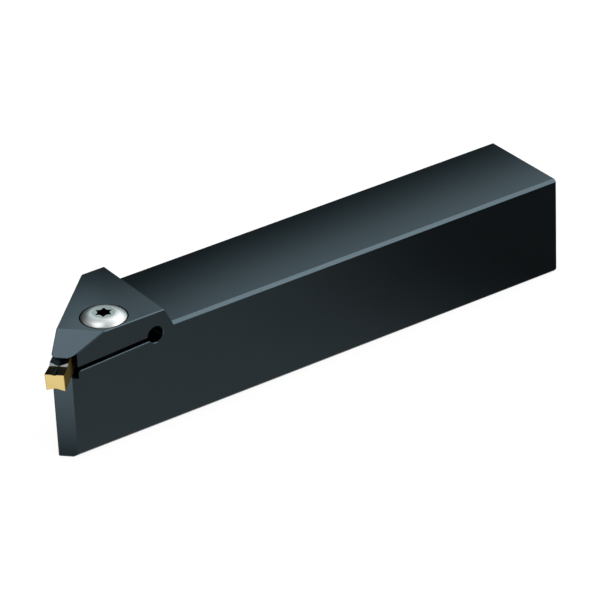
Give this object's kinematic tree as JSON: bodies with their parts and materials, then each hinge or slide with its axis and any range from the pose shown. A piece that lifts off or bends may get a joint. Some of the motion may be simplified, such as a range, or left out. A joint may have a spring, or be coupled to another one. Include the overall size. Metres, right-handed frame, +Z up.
{
  "type": "turning tool holder",
  "caption": "Square-shank monoblock grooving holder for a lathe, its spring arm clamping a double-ended insert set at 45 degrees to the shank.",
  "frame": {"origin": "on the shank's bottom face, on its middle plane, 75 mm in front of the rear end", "axes": "+X along the shank towards its rear end, +Y towards the back side that locates in the tool post, +Z up; the cutting edge is at -X and -Y"},
  "size_m": [0.1433, 0.0297, 0.0301],
  "materials": {
    "black_finished_steel": "chemically blackened, fine satin sheen",
    "polished_steel": "polished bright steel",
    "coated_carbide": "gold-coloured hard coating on the flanks, dark rake faces"
  },
  "bodies": {
    "holder": {"holder_body": "black_finished_steel"},
    "screw": {"clamping_screw": "polished_steel"},
    "insert": {"cutting_insert": "coated_carbide"}
  },
  "joints": [
    {"name": "screw_turn", "type": "hinge", "parent": "holder", "child": "screw", "pos_m": [-0.04809, -0.00679, 0.02612], "axis": [0, 0, 1], "range_deg": [0, 540]},
    {"name": "insert_slide", "type": "slide", "parent": "holder", "child": "insert", "axis": [-0.7071, -0.7071, 0], "range_m": [0, 0.0095]}
  ]
}
